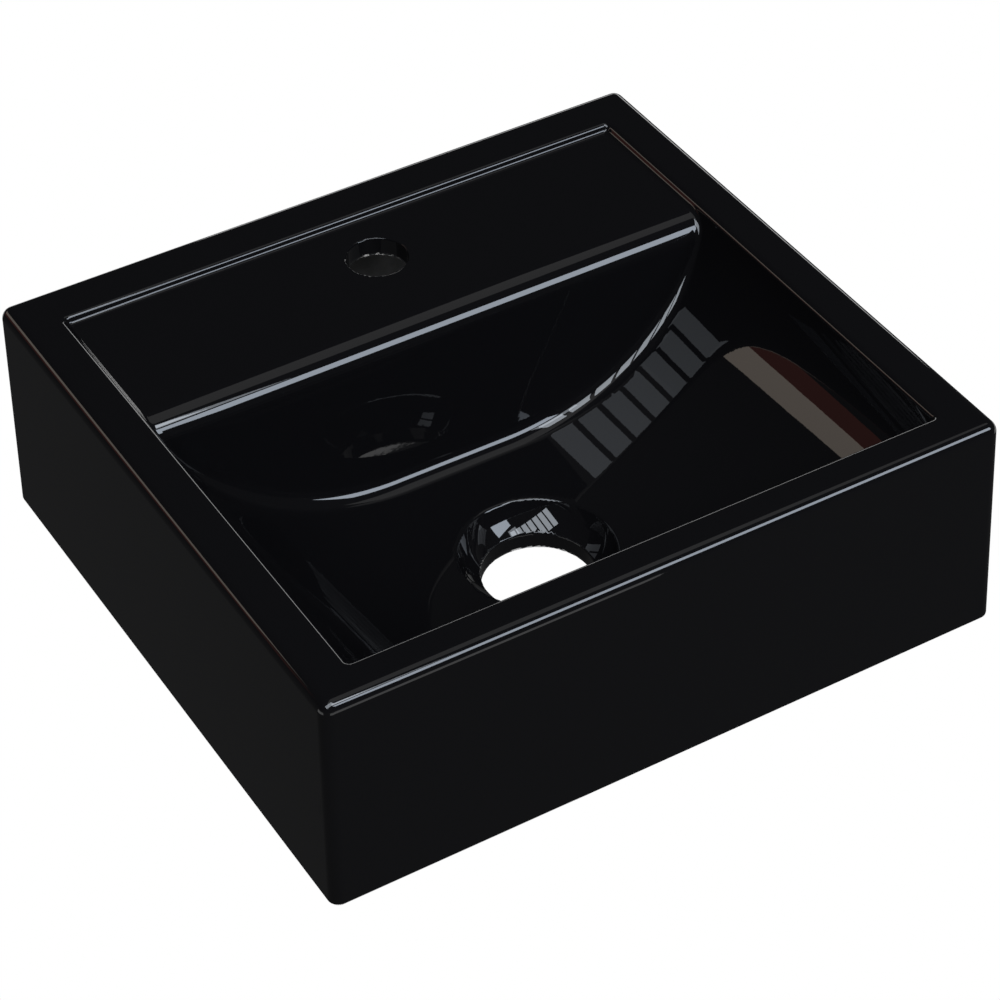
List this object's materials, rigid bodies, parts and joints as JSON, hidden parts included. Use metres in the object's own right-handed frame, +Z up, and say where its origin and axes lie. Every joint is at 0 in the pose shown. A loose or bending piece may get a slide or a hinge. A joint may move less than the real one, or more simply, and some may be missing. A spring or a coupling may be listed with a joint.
{
  "type": "wash basin",
  "caption": "Square black glazed ceramic wash basin, wall hung, with a sunk tap ledge, a trough bowl, an open waste hole and nylon-sleeved wall fixings.",
  "frame": {"origin": "on the wall face, midway between the two fixing holes, 62 mm above the foot", "axes": "+X along the wall to the user's right, +Y into the wall, +Z up; the basin stands out towards -Y"},
  "size_m": [0.407, 0.4338, 0.134],
  "materials": {
    "black_glaze": "high gloss fired glaze; thin and dull inside the underside; the ground foot is bare",
    "zinc_plated_steel": "bright zinc plate",
    "white_nylon": "moulded, satin",
    "grey_nylon": "moulded, matt"
  },
  "bodies": {
    "root": {"basin_body": "black_glaze", "hanger_bolt_left": "zinc_plated_steel", "hanger_bolt_right": "zinc_plated_steel", "washer_left": "zinc_plated_steel", "washer_right": "zinc_plated_steel", "hex_nut_left": "zinc_plated_steel", "hex_nut_right": "zinc_plated_steel", "collar_left": "white_nylon", "collar_right": "white_nylon", "wall_plug_left": "grey_nylon", "wall_plug_right": "grey_nylon"}
  },
  "joints": []
}
